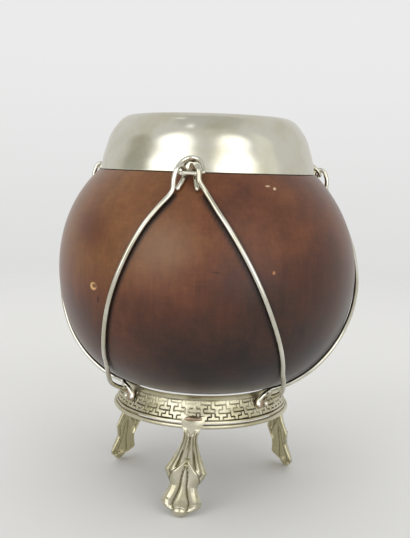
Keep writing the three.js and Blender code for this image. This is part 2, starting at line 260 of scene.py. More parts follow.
def coconut():
    """Coconut shell, scraped and polished by hand. The eye sees a warm mottled brown, lighter at the upper
    left and nearly black at the foot, partly the nut's own colour and partly painted light and shade, with
    fine fibre from pole to pole crossed by finer rub marks, a satin gloss that turns greyish where it is seen
    edge on, a painted highlight as a greyish haze at the upper left, painted shadow under the wires and along
    the foot ring, a few old nicks and a rough darker inside."""
    material, tree = new_material("coconut_shell_polished")
    at = add_node(tree, "ShaderNodeTexCoord").outputs["Object"]
    upright = add_node(tree, "ShaderNodeMapping", {"Vector": at, "Scale": (1, 1, 0.12)}).outputs["Vector"]
    level = add_node(tree, "ShaderNodeMapping", {"Vector": at, "Scale": (0.14, 0.14, 1)}).outputs["Vector"]
    # Clouds are 22 mm across and break up into mottles under 1 mm. Fibres are 0.9 mm wide and the streaks
    # among them 4 mm, both eight times as long. Rub marks are 0.8 mm high and seven times as long. Pores are
    # 0.5 mm across.
    clouds = add_node(tree, "ShaderNodeTexNoise", {
        "Vector": at, "Scale": 45, "Detail": 6, "Roughness": 0.68}).outputs["Fac"]
    flecks = add_node(tree, "ShaderNodeTexNoise", {
        "Vector": upright, "Scale": 1100, "Detail": 3, "Roughness": 0.6}).outputs["Fac"]
    streaks = add_node(tree, "ShaderNodeTexNoise", {
        "Vector": upright, "Scale": 260, "Detail": 3, "Roughness": 0.5}).outputs["Fac"]
    rubs = add_node(tree, "ShaderNodeTexNoise", {
        "Vector": level, "Scale": 1200, "Detail": 2, "Roughness": 0.6}).outputs["Fac"]
    pores = add_node(tree, "ShaderNodeTexNoise", {"Vector": at, "Scale": 2200, "Detail": 2}).outputs["Fac"]
    # The tone grows from the foot to the mouth and, more so high up, to the left, partly as painted light
    # from above and the left, and the clouds shift it
    split = add_node(tree, "ShaderNodeSeparateXYZ", {"Vector": at}).outputs
    high = add_node(tree, "ShaderNodeMapRange", {
        "Value": split["Z"], "From Min": 0.05, "From Max": 0.095},
        interpolation_type="SMOOTHSTEP").outputs["Result"]
    leftward = add_node(tree, "ShaderNodeMapRange", {
        "Value": split["X"], "From Min": 0.015, "From Max": -0.028},
        interpolation_type="SMOOTHSTEP").outputs["Result"]
    share = add_node(tree, "ShaderNodeMath", {0: high, 1: 0.15, 2: 0.2}, operation="MULTIPLY_ADD").outputs[0]
    tone = add_node(tree, "ShaderNodeMath", {0: leftward, 1: share}, operation="MULTIPLY").outputs[0]
    tone = add_node(tree, "ShaderNodeMath", {0: high, 1: 0.5, 2: tone}, operation="MULTIPLY_ADD").outputs[0]
    tone = add_node(tree, "ShaderNodeMath", {0: clouds, 1: 0.9, 2: tone}, operation="MULTIPLY_ADD").outputs[0]
    tone = add_node(tree, "ShaderNodeMath", {0: tone, 1: -0.42}, operation="ADD").outputs[0]
    ramp = add_node(tree, "ShaderNodeValToRGB", {"Fac": tone})
    ramp.color_ramp.elements.remove(ramp.color_ramp.elements[1])
    for tone_place, code in SHELL_TONES_AND_PAINTED_LIGHT:
        ramp.color_ramp.elements.new(tone_place).color = colour(code)
    ramp.color_ramp.elements.remove(ramp.color_ramp.elements[0])
    fibre = add_node(tree, "ShaderNodeMath", {0: flecks, 1: streaks}, operation="ADD").outputs[0]
    fibre = add_node(tree, "ShaderNodeMath", {0: rubs, 1: 0.6, 2: fibre}, operation="MULTIPLY_ADD").outputs[0]
    fibre = add_node(tree, "ShaderNodeMapRange", {
        "Value": fibre, "From Min": 1.0, "From Max": 1.6, "To Min": 0.86, "To Max": 1.14}).outputs["Result"]
    finish = add_node(tree, "ShaderNodeVectorMath", {0: ramp.outputs["Color"], "Scale": fibre},
                      operation="SCALE").outputs[0]
    # A mark fades from its middle outwards, by the distance over its half sizes
    for middle, half_sizes, code, cover, soft in SHELL_MARKS:
        away = add_node(tree, "ShaderNodeVectorMath", {0: at, 1: np.array(middle) * 0.001},
                        operation="SUBTRACT").outputs[0]
        away = add_node(tree, "ShaderNodeVectorMath", {0: away, 1: np.array(half_sizes) * 0.001},
                        operation="DIVIDE").outputs[0]
        away = add_node(tree, "ShaderNodeVectorMath", {0: away}, operation="LENGTH").outputs["Value"]
        within = add_node(tree, "ShaderNodeMapRange", {
            "Value": away, "From Min": 1 + soft / 2, "From Max": 1 - soft, "To Max": cover},
            interpolation_type="SMOOTHSTEP").outputs["Result"]
        finish = add_node(tree, "ShaderNodeMix", {"Factor": within, "A": finish, "B": colour(code)},
                          data_type="RGBA").outputs["Result"]
    # Painted shadow under the wires and painted shade where the shell meets the foot ring, mixed towards
    # nearly black
    painted_shade = add_node(tree, "ShaderNodeAttribute", attribute_name="painted_shade").outputs["Fac"]
    inner = add_node(tree, "ShaderNodeAttribute", attribute_name="inside").outputs["Fac"]
    finish = add_node(tree, "ShaderNodeMix", {"Factor": painted_shade, "A": finish, "B": colour("#17100E")},
                      data_type="RGBA").outputs["Result"]
    finish = add_node(tree, "ShaderNodeMix", {"Factor": inner, "A": finish, "B": colour("#3B2A22")},
                      data_type="RGBA").outputs["Result"]
    gloss = add_node(tree, "ShaderNodeMapRange", {
        "Value": clouds, "From Min": 0.3, "From Max": 0.7, "To Min": 0.32, "To Max": 0.42}).outputs["Result"]
    rough = add_node(tree, "ShaderNodeMix", {"Factor": inner, "A": gloss, "B": 0.8}).outputs["Result"]
    grain = add_node(tree, "ShaderNodeMath", {0: fibre, 1: pores}, operation="ADD").outputs[0]
    bump = add_node(tree, "ShaderNodeBump", {"Height": grain, "Strength": 0.3, "Distance": 0.00008})
    shader = add_node(tree, "ShaderNodeBsdfPrincipled", {
        "Base Color": finish, "Roughness": rough, "Normal": bump.outputs["Normal"],
        "IOR": 1.5, "Specular IOR Level": 0.27, "Sheen Weight": 0.26, "Sheen Roughness": 0.35})
    add_node(tree, "ShaderNodeOutputMaterial", {"Surface": shader.outputs["BSDF"]})
    return material


grid, inner_side = shell_grid()
shell = skin("coconut_shell_body", grid)
paint(shell, "inside", inner_side)
fit(shell, "coconut", coconut(), "coconut_shell")

# The collar: one raised sheet of white metal with a sloping skirt, a round shoulder and a mouth turned down
# inside. It was spun or raised, then polished, and it sits over the shell's sawn mouth. Its line is the
# radius and height of points on its outer face, from the skirt's edge up and round to the mouth's inner edge.
COLLAR_LINE = [
    (37.5, 113.3), (36.9, 117), (35.7, 121), (34.3, 125), (32.4, 128), (30.2, 130.5),
    (28.2, 131.6), (26.6, 131.8), (25.3, 131.3), (24.6, 130), (24.6, 126.5),
]
COLLAR_SHEET = 0.9
COLLAR_COLUMNS = 288


def smooth_line(points, steps=8):
    """A centripetal Catmull-Rom curve through points, with even steps from each point to the next: knots are
    spaced by the square root of each distance, and the four nearest points are blended three times over."""
    p = np.asarray(points, float)
    p = np.concatenate([[2 * p[0] - p[1]], p, [2 * p[-1] - p[-2]]])
    knot = np.concatenate([[0], np.cumsum(np.linalg.norm(np.diff(p, axis=0), axis=1) ** 0.5)])[:, None, None]
    t0, t1, t2, t3 = knot[:-3], knot[1:-2], knot[2:-1], knot[3:]
    p0, p1, p2, p3 = (p[i : len(p) - 3 + i, None] for i in range(4))
    t = t1 + (t2 - t1) * (np.arange(steps) / steps)[None, :, None]
    a1 = ((t1 - t) * p0 + (t - t0) * p1) / (t1 - t0)
    a2 = ((t2 - t) * p1 + (t - t1) * p2) / (t2 - t1)
    a3 = ((t3 - t) * p2 + (t - t2) * p3) / (t3 - t2)
    b1 = ((t2 - t) * a1 + (t - t0) * a2) / (t2 - t0)
    b2 = ((t3 - t) * a2 + (t - t1) * a3) / (t3 - t1)
    curve = ((t2 - t) * b1 + (t - t1) * b2) / (t2 - t1)
    return np.concatenate([curve.reshape(-1, p.shape[1]), p[-2:-1]])


def sheet_profile(line, sheet):
    """The closed outline of a sheet: its outer line, and the same line moved in square to itself, with the
    two edges rounded over by half circles."""
    outer = even(smooth_line(line), 0.5)
    tangent = np.gradient(outer, axis=0)
    tangent /= np.linalg.norm(tangent, axis=1)[:, None]
    inward = np.stack([-tangent[:, 1], tangent[:, 0]], -1)
    inner = outer + inward * sheet
    bend = np.linspace(0, np.pi, 9)[1:-1, None]
    middle, reach = (outer + inner) / 2, sheet / 2
    end = middle[-1] - inward[-1] * reach * np.cos(bend) + tangent[-1] * reach * np.sin(bend)
    start = middle[0] + inward[0] * reach * np.cos(bend) - tangent[0] * reach * np.sin(bend)
    return np.concatenate([outer, end, inner[::-1], start])


def white_metal(name, bright, warm, dark="#4A4431", roughness=(0.14, 0.26)):
    """White metal, a silver-coloured alloy, polished by hand and lightly tarnished. The eye sees a bright
    warm grey with soft cloudy yellowing, fine rub marks, and dark brown-green tarnish left in the hollows.
    Backs that a polishing cloth doesn't reach have a thin yellow tarnish all over."""
    material, tree = new_material(name)
    at = add_node(tree, "ShaderNodeTexCoord").outputs["Object"]
    flat = add_node(tree, "ShaderNodeMapping", {"Vector": at, "Scale": (0.12, 0.12, 1)}).outputs["Vector"]
    # Tarnish clouds are 12 mm across, and rub marks 0.3 mm high and eight times as long
    clouds = add_node(tree, "ShaderNodeTexNoise", {
        "Vector": at, "Scale": 80, "Detail": 5, "Roughness": 0.6}).outputs["Fac"]
    rubs = add_node(tree, "ShaderNodeTexNoise", {
        "Vector": flat, "Scale": 3200, "Detail": 3, "Roughness": 0.7}).outputs["Fac"]
    yellowing = add_node(tree, "ShaderNodeMapRange", {"Value": clouds, "From Min": 0.35, "From Max": 0.7},
                         interpolation_type="SMOOTHSTEP").outputs["Result"]
    metal = add_node(tree, "ShaderNodeMix", {"Factor": yellowing, "A": colour(bright), "B": colour(warm)},
                     data_type="RGBA").outputs["Result"]
    back = add_node(tree, "ShaderNodeAttribute", attribute_name="back").outputs["Fac"]
    metal = add_node(tree, "ShaderNodeMix", {"Factor": back, "A": metal, "B": colour("#D6CEA8")},
                     data_type="RGBA").outputs["Result"]
    # Hollows take dark tarnish, and the foot ring's gap under the shell takes it as painted shade
    hollow = add_node(tree, "ShaderNodeAttribute", attribute_name="hollow").outputs["Fac"]
    metal = add_node(tree, "ShaderNodeMix", {"Factor": hollow, "A": metal, "B": colour(dark)},
                     data_type="RGBA").outputs["Result"]
    wear = add_node(tree, "ShaderNodeMath", {0: clouds, 1: rubs}, operation="MULTIPLY").outputs[0]
    rough = add_node(tree, "ShaderNodeMapRange", {
        "Value": wear, "From Min": 0.15, "From Max": 0.4, "To Min": roughness[0], "To Max": roughness[1]})
    rough = add_node(tree, "ShaderNodeMath", {0: hollow, 1: 0.35, 2: rough.outputs["Result"]},
                     operation="MULTIPLY_ADD").outputs[0]
    bump = add_node(tree, "ShaderNodeBump", {"Height": rubs, "Strength": 0.25, "Distance": 0.00001})
    shader = add_node(tree, "ShaderNodeBsdfPrincipled", {
        "Base Color": metal, "Roughness": rough, "Normal": bump.outputs["Normal"], "Metallic": 1.0})
    add_node(tree, "ShaderNodeOutputMaterial", {"Surface": shader.outputs["BSDF"]})
    return material


# Spun and polished sheet is evenly pale, and mirrors the room with soft edges
collar_metal = white_metal("white_metal_spun_and_polished", bright="#D9D7CA", warm="#CECAB6")
collar_grid = turn(sheet_profile(COLLAR_LINE, COLLAR_SHEET), COLLAR_COLUMNS)
collar = skin("collar_raised_sheet", collar_grid, looped=True)
fit(collar, "white_metal", collar_metal, "collar")

# The foot ring: a strip of white metal that flares down to a rim, its outer face rolled with a worn key fret
# between two plain margins, and its upper edge dressed to the underside of the shell. Its line is the radius
# and height of points on its outer face, from the rim up, and its seat is the inner edge under the shell.
BAND_LINE = [
    (30.8, 30.75), (29.9, 33.2), (28.7, 35.6), (28.25, 37.5), (28.5, 38.6), (29.05, 39.4), (29.8, 39.9),
]
BAND_SEAT = (27.4, 39.1)
BAND_SHEET = 0.8
BAND_INNER_TOP = 38.2
# The fret has this many repeats of four units round the ring, between two margin lines at these heights
FRET_PERIODS = 36
FRET_UNIT_HEIGHT = 1.21
FRET_HEIGHTS = (31.55, 37.6)
FRET_DEPTH = 0.24
FRET_LINE = 0.17
# How far and how often round the ring the lines waver: up and down in millimetres, and sideways in units
FRET_WAVER = ((0.12, 7), (0.07, 19))
FRET_SIDE_WAVER = (0.12, 11)
# Wear leaves patches of the fret deep and others nearly gone, and the part near the rim the deepest
WEAR_MIDDLE = 0.42
WEAR_PATCHES = 0.35
WEAR_LOW = (32.5, 36)
WEAR_LEAST = 0.16


def line_depth(distance, half_width):
    """How deep a rolled line is at a distance from its middle: 1 inside it, 0 outside, with soft edges."""
    return 1 - step(distance, half_width * 0.55, half_width * 1.45)


def fret(units, up):
    """The depth of the rolled lines, 0 to 1, at places in units along the strip and in millimetres up it.
    Each row is two units high and is filled by T shapes, hanging and standing by turns, four units apart. A T
    is three units wide with a stem one unit wide, and the lines run between them. A hanging stem runs on into
    the row below, and each row is moved along by one unit."""
    rise = (up - FRET_HEIGHTS[0]) / FRET_UNIT_HEIGHT
    row = np.floor(rise / 2)
    place_in_row = (units + row) % 4
    upper = rise - 2 * row > 1
    sides = np.where(upper, np.minimum(np.abs(place_in_row - 3), 2 - np.abs(place_in_row - 2)),
                     np.minimum(np.abs(place_in_row - 1), np.abs(place_in_row - 2)))
    below_bar = (place_in_row < 1) | ((place_in_row > 2) & (place_in_row < 3))
    shoulder = np.where(below_bar, np.abs(rise - 2 * row - 1), 1)
    border = np.round(rise / 2)
    stem = np.abs((units + border) % 4 - 1.5) < 0.5
    between = np.where(stem, 1, np.abs(rise - 2 * border))
    nearest = np.minimum.reduce([sides + 0 * rise, shoulder, between])
    return line_depth(nearest * FRET_UNIT_HEIGHT, FRET_LINE)


def band_grid():
    """The strip's closed outline carried round the axis, its outer face sunk square to itself by the fret's
    depth times the wear. Also how dark each point is: tarnished by the fret times the wear, and fully dark
    in the gap under the shell as painted shade."""
    columns = 8 * 4 * FRET_PERIODS
    outer = even(smooth_line(BAND_LINE), 0.14)
    tangent = np.gradient(outer, axis=0)
    tangent /= np.linalg.norm(tangent, axis=1)[:, None]
    inward = np.stack([-tangent[:, 1], tangent[:, 0]], -1)
    inner = (outer + inward * BAND_SHEET)[::-1]
    inner = even(inner[inner[:, 1] < BAND_INNER_TOP], 0.9)
    profile = np.concatenate([outer, [BAND_SEAT], inner])
    grid = turn(profile, columns)
    azimuth = np.arange(columns) / columns * 2 * np.pi
    units = np.arange(columns) / columns * FRET_PERIODS * 4
    up = outer[:, 1:]
    (wide, slow), (fine, quick) = FRET_WAVER
    waver = wide * np.sin(slow * azimuth) + fine * np.sin(quick * azimuth + up)
    side_waver = FRET_SIDE_WAVER[0] * np.sin(FRET_SIDE_WAVER[1] * azimuth)
    low, high = FRET_HEIGHTS
    within = plateau(up, (low - 0.1, low + 0.1), (high - 0.1, high + 0.1))
    sunk = fret(units + side_waver, up + waver) * within
    margins = [line_depth(np.abs(up - height - waver * 0.4), FRET_LINE) for height in FRET_HEIGHTS]
    sunk = np.maximum.reduce([sunk, *margins])
    wear = WEAR_MIDDLE + WEAR_PATCHES * np.sin(5 * azimuth + up) * np.sin(9 * azimuth - 1.3 * up)
    wear = np.clip(wear + 0.5 * (1 - step(up, *WEAR_LOW)), WEAR_LEAST, 1)
    depth = FRET_DEPTH * sunk * wear
    rows = len(outer)
    grid[:rows, :, 0] += depth * inward[:, :1] * np.sin(azimuth)
    grid[:rows, :, 1] -= depth * inward[:, :1] * np.cos(azimuth)
    grid[:rows, :, 2] += depth * inward[:, 1:]
    hollow = np.zeros(grid.shape[:2])
    hollow[:rows] = sunk * wear
    # The seat in the gap under the shell is painted fully dark, as painted shade
    hollow[rows : rows + 2] = 1
    return grid, hollow


# A rolled strip that is hard to polish is yellower and duller, with nearly black dirt in its lines
band_metal = white_metal("white_metal_rolled_fret", bright="#D3CEB7", warm="#B5AE8E", dark="#332D20",
                         roughness=(0.28, 0.42))
grid, hollow = band_grid()
band = skin("foot_band_fretted_strip", grid, looped=True, sharp=30)
paint(band, "hollow", hollow)
fit(band, "white_metal", band_metal, "foot_band")

# The rim wire: a length of round wire of the same white metal, bent to a ring and soldered along the lower
# edge of the foot ring, which it stiffens. The feet are soldered over it.
RIM_RADIUS = 30.9
RIM_Z = 29.6
RIM_WIRE = 0.78


def tube(path, radius, side, sides=20, looped=False):
    """Round sections of a radius carried along a path. Each stands square to the path, and its first corner
    points to the given side of it."""
    if looped:
        along = np.roll(path, -1, 0) - np.roll(path, 1, 0)
    else:
        along = np.gradient(path, axis=0)
    along /= np.linalg.norm(along, axis=1)[:, None]
    side = side - np.einsum("ij,ij->i", side, along)[:, None] * along
    side /= np.linalg.norm(side, axis=1)[:, None]
    other = np.cross(along, side)
    turned = np.linspace(0, 2 * np.pi, sides, endpoint=False)[None, :, None]
    radius = np.broadcast_to(radius, len(path))[:, None, None]
    return path[:, None] + radius * (np.cos(turned) * side[:, None] + np.sin(turned) * other[:, None])


def place(azimuth, radius, z, sideways=0.0):
    """Points at an azimuth, a distance from the axis and a height, moved sideways along the tangent."""
    azimuth, radius, z, sideways = np.broadcast_arrays(np.radians(azimuth), radius, z, sideways)
    x = radius * np.sin(azimuth) + sideways * np.cos(azimuth)
    y = -radius * np.cos(azimuth) + sideways * np.sin(azimuth)
    return np.stack([x, y, z], -1)


ring_path = place(np.linspace(0, 360, 360, endpoint=False), RIM_RADIUS, RIM_Z)
upright = np.broadcast_to([0.0, 0.0, 1.0], ring_path.shape)
rim = skin("foot_rim_round_wire", tube(ring_path, RIM_WIRE, upright, 24, looped=True), looped=True)
fit(rim, "white_metal", band_metal, "foot_rim_wire")

# The collar rings: three wires bent to a D and soldered to the collar's skirt by a short stem, with the
# straight bar held off the shell for the stays to hook round. The bar, the top of the arch, the stem's end on
# the collar and the solder are each a radius and a height.
RING_AZIMUTHS = {"front": -7.2, "right": 108, "left": -114.5}
RING_WIRE = 0.65
RING_HALF_WIDTH = 4.2
RING_BAR = (42.0, 112.7)
RING_BAR_HALF = 3.5
RING_CORNER = 0.4
RING_ARCH = (38.1, 117.5)
RING_STEM = (38.1, 115.3)
RING_STEM_SIDE = -0.15
RING_STEM_WIRE = 0.6
RING_SOLDER = (37.9, 117.2)
RING_SOLDER_HALF_SIZES = (1.5, 0.75, 0.8)


def collar_ring(azimuth):
    """Round wire along the D's closed path: half an ellipse from the bar's ends up and back to the collar,
    and the bar, with the corners rounded by a smooth curve through every sixth point."""
    turned = np.linspace(0, np.pi, 60)
    rise = np.sin(turned)
    radius = RING_BAR[0] + (RING_ARCH[0] - RING_BAR[0]) * rise
    z = RING_BAR[1] + RING_CORNER + (RING_ARCH[1] - RING_BAR[1] - RING_CORNER) * rise
    arch = place(azimuth, radius, z, RING_HALF_WIDTH * np.cos(turned))
    bar = place(azimuth, *RING_BAR, np.linspace(-RING_BAR_HALF, RING_BAR_HALF, 24))
    path = np.concatenate([arch, bar])
    bound = even(smooth_line(np.concatenate([path[::6], path[:1]]), 12), 0.3)[:-1]
    square_to_d = np.broadcast_to(place(azimuth, 1, 0.85), bound.shape)
    return tube(bound, RING_WIRE, square_to_d, 18, looped=True)


def bead(azimuth, radius, z, half_sizes, lumps):
    """A closed egg shape at a place: a ball stretched to half sizes along the tangent, outwards and up, with
    soft lumps from a wave round it times a wave from pole to pole."""
    polar = np.linspace(0.12, np.pi - 0.12, 18)[:, None]
    around = np.linspace(0, 2 * np.pi, 24, endpoint=False)[None]
    uneven = 1 + lumps * np.sin(3 * around + 2 * polar) * np.sin(2 * polar)
    sideways = half_sizes[0] * uneven * np.sin(polar) * np.cos(around)
    outwards = half_sizes[1] * uneven * np.sin(polar) * np.sin(around)
    upwards = half_sizes[2] * uneven * np.cos(polar)
    return place(azimuth, radius + outwards, z + upwards, sideways)


# Drawn wire is the smoothest of the metal, so it glints. Silver solder tarnishes duller and pinkish.
wire_metal = white_metal("white_metal_drawn_wire", bright="#DFDDD3", warm="#C2BEAA", roughness=(0.07, 0.15))
solder_metal = white_metal("silver_solder_tarnished", bright="#B3A48D", warm="#8E7362", roughness=(0.38, 0.5))
for name, azimuth in RING_AZIMUTHS.items():
    ring = skin(f"collar_ring_{name}_bent_wire", collar_ring(azimuth), looped=True)
    fit(ring, "white_metal", wire_metal, f"collar_ring_{name}")
    ends = np.stack([place(azimuth, *RING_STEM, RING_STEM_SIDE), place(azimuth, *RING_BAR, RING_STEM_SIDE)])
    path = even(ends, 0.2)
    across = np.broadcast_to(place(azimuth, 0, 0, 1.0), path.shape)
    stem = skin(f"collar_ring_{name}_stem", tube(path, RING_STEM_WIRE, across, 16))
    fit(stem, "white_metal", solder_metal)
    solder = bead(azimuth, *RING_SOLDER, RING_SOLDER_HALF_SIZES, 0.1)
    fit(skin(f"collar_ring_{name}_solder", solder), "white_metal", solder_metal)

# The stays: six lengths of drawn wire, two from each collar ring. Each has an eye bent round the ring's bar,
# lies on the shell all the way down, and ends in a short tail soldered on the foot ring. The stays of a pair
# cross under the shell, so each tail ends on the far side of the other one.
JOINT_AZIMUTHS = {"right": 44, "back": 177, "left": -55}
STAY_WIRE = 0.78
STAY_REST = 0.05
STAY_SPACING = 0.35
STAY_END = 0.7
# The upper stay of a crossing comes this far off the shell, from the higher of these heights to the lower
STAY_LIFT = 2.35
STAY_LIFT_Z = (43, 49)
# Above this height a stay leaves the shell towards its ring, by the square of the rise
STAY_TOUCH_Z = 96.4
STAY_STAND_OFF = 0.006
# How far to the side of the ring's middle an eye starts and ends
WIDE_EYE = (1.85, 4.5)
NARROW_EYE = (1.5, 3.3)
# An eye from its bent end, round the bar: the share of its way sideways, its radius and its height
STAY_EYE = [
    (0.68, 43.7, 107.5), (0.3, 42.3, 109.6), (0.04, 40.8, 111.3), (0, 40.2, 112.7), (0.11, 40.9, 114.2),
    (0.41, 42.3, 114.8), (0.7, 43.7, 114.0), (0.89, 44.2, 112.4), (1, 44.5, 110.6),
]
# The tails on the foot ring: how far past the joint's middle, the radius and the height
OVER_TAIL = [(1.5, 31.6, 37.5), (1.6, 30.6, 36.7), (1.7, 30.15, 35.7), (1.7, 30.7, 34.4)]
UNDER_TAIL = [(-1.6, 31.0, 39.4), (-0.1, 30.5, 38.5), (1.1, 30.1, 37.3), (1.6, 29.9, 36.0), (1.7, 30.5, 34.7)]
JOINT_SOLDER = (29.75, 35.9)
JOINT_SOLDER_HALF_SIZES = (2.5, 0.75, 1.9)
# Painted shadow is thick this near to a wire's middle and gone this far from it, and sits this much below it.
# It lies along the wires between the first two heights, and over the foot ring it fades between the other
# two.
SHADE_REACH = (1.0, 2.3)
SHADE_DROP = (0, 0, 0.8)
SHADE_Z = (41, 107)
SHADE_ON_RING_Z = (40.4, 42.2)
SHADE_NEAR = 14
SHADE_MOST = 0.95
# Each stay is its ring, its joint, whether it crosses over the other, its eye and its azimuths at the heights
STAY_HEIGHTS = (106.5, 97, 85, 73, 60, 50, 44, 41)
STAYS = [
    ("front", "right", True, NARROW_EYE, (-0.4, 7.4, 14.7, 20.9, 28.2, 35.3, 43.2, 46.2)),
    ("front", "left", True, WIDE_EYE, (-13.5, -22.1, -28.8, -34.3, -40, -46.8, -54.5, -57)),
    ("right", "right", False, WIDE_EYE, (102.4, 98.8, 91.5, 83, 70, 60, 53.3, 48.8)),
    ("right", "back", True, WIDE_EYE, (116.7, 126, 136.1, 144.6, 153.6, 164, 173.9, 180.5)),
    ("left", "left", False, WIDE_EYE, (-109, -106, -100.3, -94.3, -86.5, -78, -68, -61)),
    ("left", "back", False, WIDE_EYE, (-121.9, -130.1, -138.7, -146, -153.8, -162.8, -171.3, -177)),
]


def stay_path(ring, joint, over, eye, turns):
    """The middle of a stay's wire: its eye, its run down the shell, pushed out along the shell's normal to
    lie on it, or just off it near the ring, and its tail, joined by one smooth curve."""
    ring_at, joint_at = RING_AZIMUTHS[ring], JOINT_AZIMUTHS[joint]
    hand = np.sign(turns[-1] - ring_at)
    share, radius, z = np.array(STAY_EYE).T
    bent = place(ring_at, radius, z, hand * (eye[0] + (eye[1] - eye[0]) * share))
    azimuth, z = smooth_line(np.stack([turns, STAY_HEIGHTS], -1), 2).T
    slope = (nut_radius(z + 0.1) - nut_radius(z - 0.1)) / 0.2
    lift = STAY_LIFT * (1 - step(z, *STAY_LIFT_Z)) if over else 0
    lift = lift + STAY_STAND_OFF * np.clip(z - STAY_TOUCH_Z, 0, None) ** 2
    out = (STAY_WIRE + STAY_REST + lift) / np.hypot(1, slope)
    run = place(azimuth, nut_radius(z) + out, z - out * slope)
    run[:, 0] += bulge(z)
    side, radius, z = np.array(OVER_TAIL if over else UNDER_TAIL).T
    tail = place(joint_at, radius, z, hand * side)
    return even(smooth_line(np.concatenate([bent, run, tail]), 12), STAY_SPACING)


def stay(*settings):
    """Round wire along a stay's path, its ends rounded off by a quarter circle."""
    path = stay_path(*settings)
    from_end = np.minimum(np.arange(len(path)), np.arange(len(path))[::-1]) * STAY_SPACING
    rounding = np.sqrt(np.clip(1 - (1 - np.clip(from_end / STAY_END, 0.08, 1)) ** 2, 0, 1))
    azimuth = np.degrees(np.arctan2(path[:, 0], -path[:, 1]))
    return tube(path, STAY_WIRE * rounding, place(azimuth, 0, 0, 1.0), 20)


def painted_shade(points):
    """How much painted shade darkens the shell at its points: all along the foot ring, where the shell meets
    it, and by the distance to the nearest wire, as the wire's shadow. The shadow falls on a wire's lower
    side, so a wire counts as a little lower than it is. Only points near a wire's place at their own height
    are measured."""
    most = 1 - step(points[:, 2], *SHADE_ON_RING_Z)
    for settings in STAYS:
        path = stay_path(*settings)
        path = path[(path[:, 2] > SHADE_Z[0]) & (path[:, 2] < SHADE_Z[1])]
        level = np.abs(points[:, None, 2] - path[None, :, 2]).argmin(1)
        near = np.linalg.norm(points - path[level], axis=1) < SHADE_NEAR
        away = np.linalg.norm(points[near][:, None] - path[None] + SHADE_DROP, axis=2).min(1)
        most[near] = np.maximum(most[near], 1 - step(away, *SHADE_REACH))
    return most


for settings in STAYS:
    ring, joint = settings[:2]
    node = f"stay_{ring}_ring_to_{joint}_joint"
    wire = skin(f"{node}_wire", stay(*settings))
    fit(wire, "white_metal", wire_metal, node)
for name, azimuth in JOINT_AZIMUTHS.items():
    solder = bead(azimuth, *JOINT_SOLDER, JOINT_SOLDER_HALF_SIZES, 0.25)
    fit(skin(f"joint_{name}_solder", solder), "white_metal", solder_metal)
# The shell's painted shadow under the wires and painted shade at the foot ring
points = np.zeros(len(shell.data.vertices) * 3, np.float32)
shell.data.vertices.foreach_get("co", points)
paint(shell, "painted_shade", SHADE_MOST * painted_shade(points.reshape(-1, 3) * 1000))

# The feet: three leaves of white metal, cast and chased, each with its fan top lapped over the rim and
# soldered, a narrow neck, a pair of fluted wings, three lobes below them and a rolled toe.
# Each foot is its azimuth, its lean to the side in degrees and how far its toe splays outwards
FEET = {"front": (-4.1, 6.1, 0), "right": (116, 3, 1.6), "left": (-123, -6.7, 0)}
FOOT_TOP_Z = 32.4
FOOT_SHEET = 1.0
FOOT_CUP = 1.8
FOOT_EAR_RISE = 1.7
FOOT_SOLDER = (32.1, 32.7)
FOOT_SOLDER_HALF_SIZES = (3.5, 0.95, 0.85)
# The toe and the sheet's relief show on the back by these shares
TOE_BACK = 0.8
RELIEF_BACK = 0.55
# The leaf's half widths at shares of its length, and the radius and height of points down its middle
LEAF_WIDTHS = [
    (0, 4.3), (0.05, 3.7), (0.1, 2.85), (0.155, 2.45), (0.22, 2.55), (0.32, 3.5), (0.42, 4.9), (0.5, 6.3),
    (0.545, 7.1), (0.6, 6.3), (0.65, 5.3), (0.69, 4.65), (0.74, 5.15), (0.8, 6.0), (0.84, 6.65), (0.87, 6.8),
    (0.895, 6.5), (0.915, 5.8), (0.932, 4.8), (0.946, 3.6), (0.958, 2.4), (1, 0),
]
LEAF_LINE = [
    (32.4, 32.4), (32.9, 30.6), (33.1, 28), (33.1, 23.5), (33.3, 18), (34.1, 11), (35.0, 5.2), (35.3, 0.15),
]
LEAF_TIP = (0.96, 1)
TOE_HALF_WIDTH = 2.6
TOE_RADIUS = 1.75
TOE_SHARE = 0.945
TOE_REACH = 0.055
# The wings end at a curve: its share of the length at the middle, and how far it falls to the leaf's edge
TIER_SHARE = 0.4
TIER_FALL = 0.26
# Ridges down the leaf: how high, how far from the middle and how wide, where 1 is the leaf's edge
WING_RIM = (0.6, 0.88, 0.085)
WING_OUTER_RIDGE = (0.5, 0.6, 0.11)
WING_INNER_RIDGE = (0.55, 0.22, 0.13)
WING_BUD = (0.55, 0.66, 0.09)
LOBE_RIB = (0.2, 0.8, 0.06)
LOBE_HEIGHT = 0.9
# Grooves down the leaf: how far from the middle and how wide
WING_SLIT = (0.5, 0.035)
INNER_GROOVE = (0.42, 0.06)
OUTER_GROOVE = (0.76, 0.045)
# Pits of the casting: how far from the middle and how far down, the first on the left side only
SIDE_PIT = (0.72, 0.84)
LOW_PIT = (0.52, 0.895)


def hump(value, middle, half_width):
    """A soft bell: e to the power of minus the square of the distance from the middle over the half width."""
    return np.exp(-(((value - middle) / half_width) ** 2))


